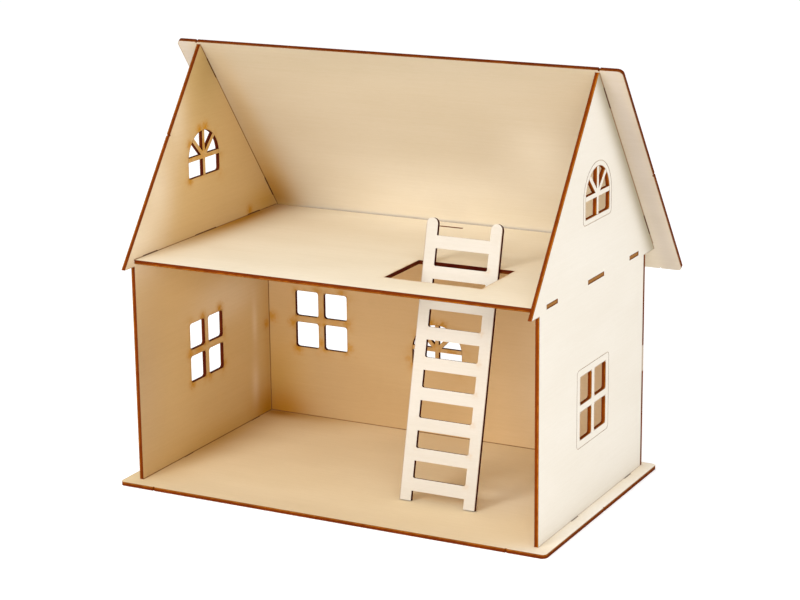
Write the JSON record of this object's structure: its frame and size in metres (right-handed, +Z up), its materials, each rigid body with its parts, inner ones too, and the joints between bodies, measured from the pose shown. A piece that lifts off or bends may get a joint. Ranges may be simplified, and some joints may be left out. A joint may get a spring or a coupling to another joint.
{
  "type": "dollhouse",
  "caption": "Open-fronted wooden dollhouse of slotted plywood sheets: gabled end walls, attic floor, rear roof panel, barred windows, and a ladder that lifts out through the attic hatch.",
  "frame": {"origin": "centre of the base plate's underside", "axes": "+Z up, +Y towards the back wall and the roof panel, +X to the right seen from the open front"},
  "size_m": [0.364, 0.2418, 0.3231],
  "materials": {
    "panel_plywood": "untreated pale plywood, fine grain, cut edges scorched dark brown",
    "ladder_plywood": "untreated, the palest plywood, cut edges scorched dark brown"
  },
  "bodies": {
    "house": {"base_plate": "panel_plywood", "left_gable_wall": "panel_plywood", "right_gable_wall": "panel_plywood", "back_wall": "panel_plywood", "attic_floor": "panel_plywood", "roof_panel": "panel_plywood"},
    "ladder": {"ladder": "ladder_plywood"}
  },
  "joints": [
    {"name": "ladder_lift", "type": "slide", "parent": "house", "child": "ladder", "axis": [0, -0.0349, 0.9994], "range_m": [0, 0.187]}
  ]
}
